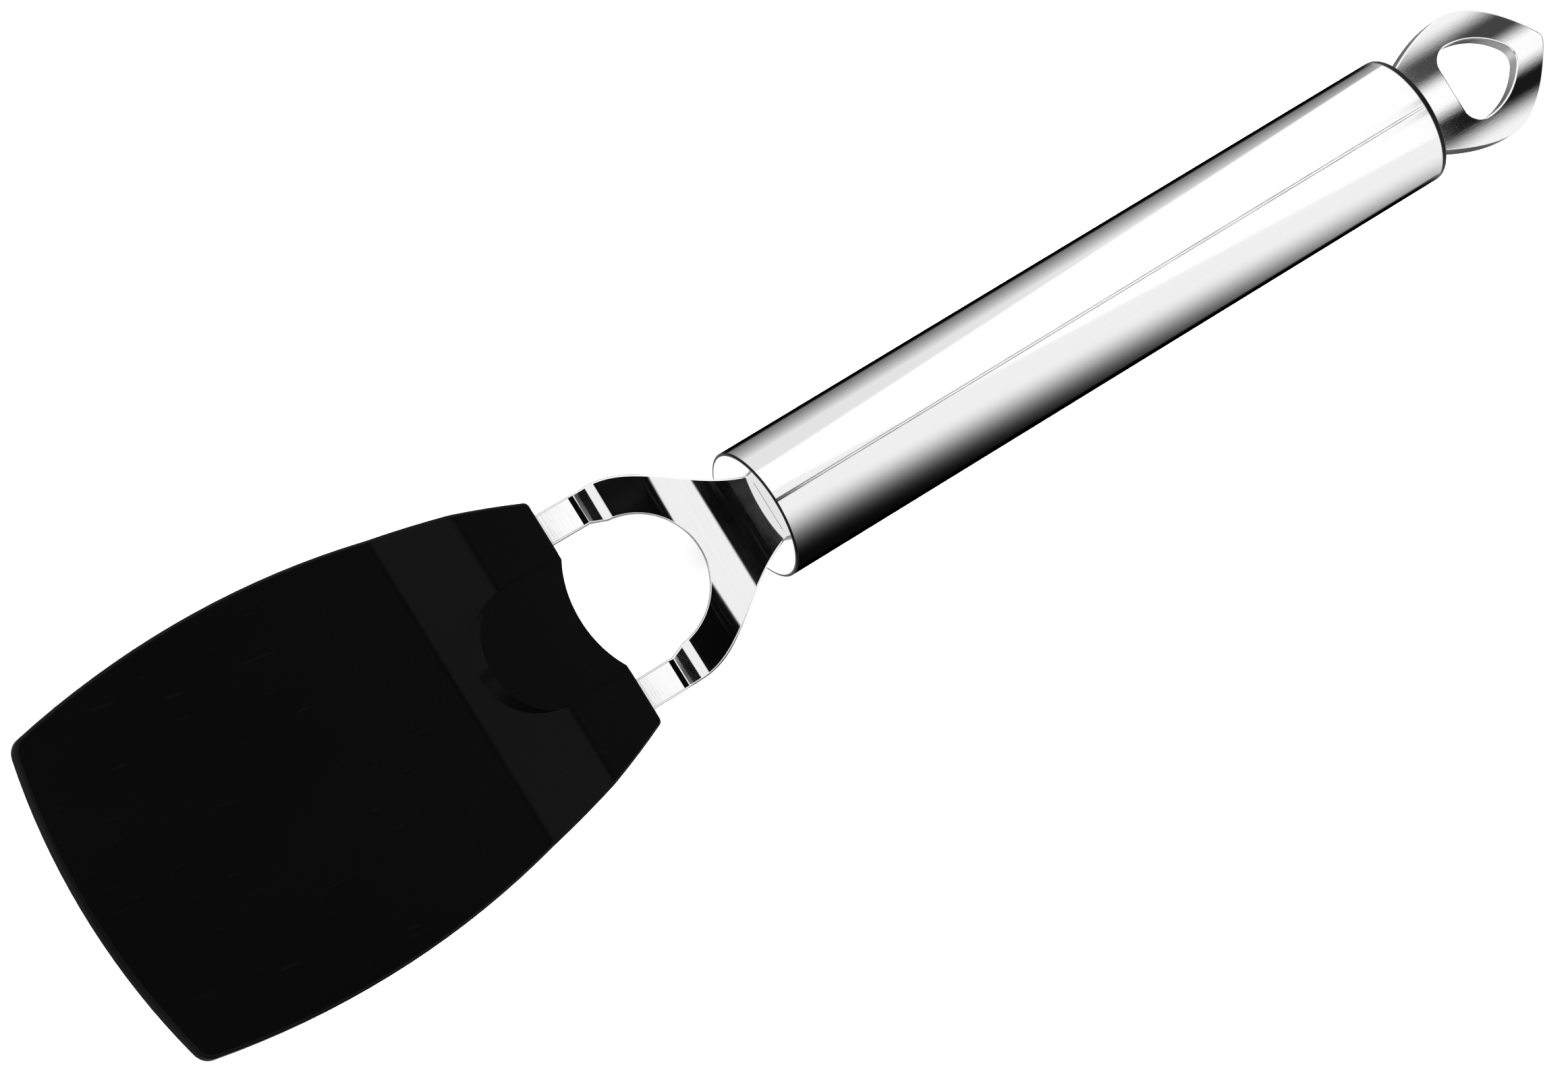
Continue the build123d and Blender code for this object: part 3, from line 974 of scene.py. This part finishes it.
def round_tent(centre, radius):
    """Points and faces of a sphere, closed at both poles."""
    rings, sides = TENT_RINGS, TENT_SIDES
    points = [(centre.x, centre.y, centre.z + radius), (centre.x, centre.y, centre.z - radius)]
    for ring in range(1, rings):
        drop = pi * ring / rings
        for side in range(sides):
            turn = 2 * pi * side / sides
            step = Vector((sin(drop) * cos(turn), sin(drop) * sin(turn), cos(drop)))
            points.append(tuple(centre + radius * step))
    faces = []
    for side in range(sides):
        after = (side + 1) % sides
        faces.append((0, 2 + side, 2 + after))
        last = 2 + (rings - 2) * sides
        faces.append((1, last + after, last + side))
        for ring in range(rings - 2):
            start = 2 + ring * sides
            faces.append((start + side, start + sides + side, start + sides + after, start + after))
    return points, faces


def reflected_only(piece):
    """The steel reflects the piece, and nothing else sees it."""
    piece.visible_camera = False
    piece.visible_diffuse = False
    piece.visible_transmission = False
    piece.visible_volume_scatter = False
    piece.visible_shadow = False


def set_world(settings):
    world = bpy.data.worlds.new("even light")
    world.use_nodes = True
    world.node_tree.nodes.clear()
    tree = Tree(world.node_tree)
    glow = tree.node("ShaderNodeBackground", Color=(1, 1, 1, 1), Strength=settings.soft_light)
    output = tree.node("ShaderNodeOutputWorld")
    world.node_tree.links.new(glow.outputs[0], output.inputs[0])
    bpy.context.scene.world = world


def add_camera(settings, sheet):
    """The camera, aimed just behind the blade and turned so that the spatula runs across the picture."""
    tilt, side, roll = settings.view_tilt, settings.view_side, settings.view_roll
    back = Vector((-sin(tilt) * cos(side), sin(side), cos(tilt) * cos(side)))
    level = (Vector((1, 0, 0)) - back.x * back).normalized()
    square = back.cross(level)
    right = cos(roll) * level - sin(roll) * square
    up = sin(roll) * level + cos(roll) * square
    low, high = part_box("blade")
    aim = Vector((high.x + settings.aim_behind_blade, settings.aim_aside, low.z + sheet))
    data = bpy.data.cameras.new("studio camera")
    data.sensor_width = 36
    data.lens = settings.lens
    data.clip_start = 0.01
    camera = bpy.data.objects.new("studio camera", data)
    turn = Matrix((right, up, back)).transposed().to_4x4()
    camera.matrix_world = Matrix.Translation(aim + settings.view_distance * back) @ turn
    bpy.context.scene.collection.objects.link(camera)
    bpy.context.scene.camera = camera


def add_lamp(settings):
    """One large soft lamp overhead."""
    data = bpy.data.lights.new("overhead softbox", "AREA")
    data.shape = "DISK"
    data.size = SOFTBOX_WIDTH
    data.energy = settings.key_power
    lamp = bpy.data.objects.new("overhead softbox", data)
    lamp.location = SOFTBOX_PLACE
    lamp.rotation_euler = (SOFTBOX_TURN, 0, 0)
    lamp.visible_camera = False
    lamp.visible_glossy = False
    bpy.context.scene.collection.objects.link(lamp)


class SPATULA_OT_stage(Operator):
    """Set up the floor, the light tent, the lamp and the camera"""

    bl_idname = "spatula.stage"
    bl_label = "Stage"

    def execute(self, context):
        settings = context.scene.spatula_studio
        line = HandleLine(context.scene.spatula_handle.tilt)
        below = CAD_BOX[0][2] - FLOOR_GAP
        signs = ((-1, -1), (1, -1), (1, 1), (-1, 1))
        corners = [(FLOOR_REACH * x, FLOOR_REACH * y, below) for x, y in signs]
        floor = stage_mesh("floor", corners, [(0, 1, 2, 3)], floor_cloth(settings))
        floor.visible_glossy = False
        points, faces = round_tent(line.front, settings.tent_radius)
        reflected_only(stage_mesh("light_tent", points, faces, tent_cloth(settings, line)))
        set_world(settings)
        add_lamp(settings)
        add_camera(settings, context.scene.spatula_nylon.sheet)
        context.scene.view_settings.view_transform = "Standard"
        return {"FINISHED"}


# ---- Panel and registration ----


class SPATULA_PT_pieces(Panel):
    """Lists the spatula's pieces and their settings"""

    bl_label = "Offset spatula"
    bl_idname = "SPATULA_PT_pieces"
    bl_space_type = "VIEW_3D"
    bl_region_type = "UI"
    bl_category = "Spatula"

    def draw(self, context):
        layout = self.layout
        for operator in OPERATORS:
            layout.operator(operator.bl_idname)
        for name in GROUPS:
            box = layout.box()
            settings = getattr(context.scene, name)
            for key in settings.bl_rna.properties.keys():
                if key not in ("rna_type", "name"):
                    box.prop(settings, key)


GROUPS = {
    "spatula_nylon": NylonLooks,
    "spatula_steel": SteelLooks,
    "spatula_handle": HandleSizes,
    "spatula_studio": StudioSettings,
}
OPERATORS = (
    SPATULA_OT_stage,
    SPATULA_OT_blade,
    SPATULA_OT_fork,
    SPATULA_OT_handle_tube,
    SPATULA_OT_caps,
    SPATULA_OT_ring,
)


def register():
    for kind in (*GROUPS.values(), *OPERATORS, SPATULA_PT_pieces):
        bpy.utils.register_class(kind)
    for name, kind in GROUPS.items():
        setattr(bpy.types.Scene, name, PointerProperty(type=kind))


def unregister():
    for name in GROUPS:
        delattr(bpy.types.Scene, name)
    for kind in reversed((*GROUPS.values(), *OPERATORS, SPATULA_PT_pieces)):
        bpy.utils.unregister_class(kind)


def main():
    register()
    bpy.ops.spatula.stage()
    bpy.ops.spatula.blade()
    bpy.ops.spatula.fork()
    bpy.ops.spatula.handle_tube()
    bpy.ops.spatula.caps()
    bpy.ops.spatula.ring()


if __name__ == "__main__":
    main()
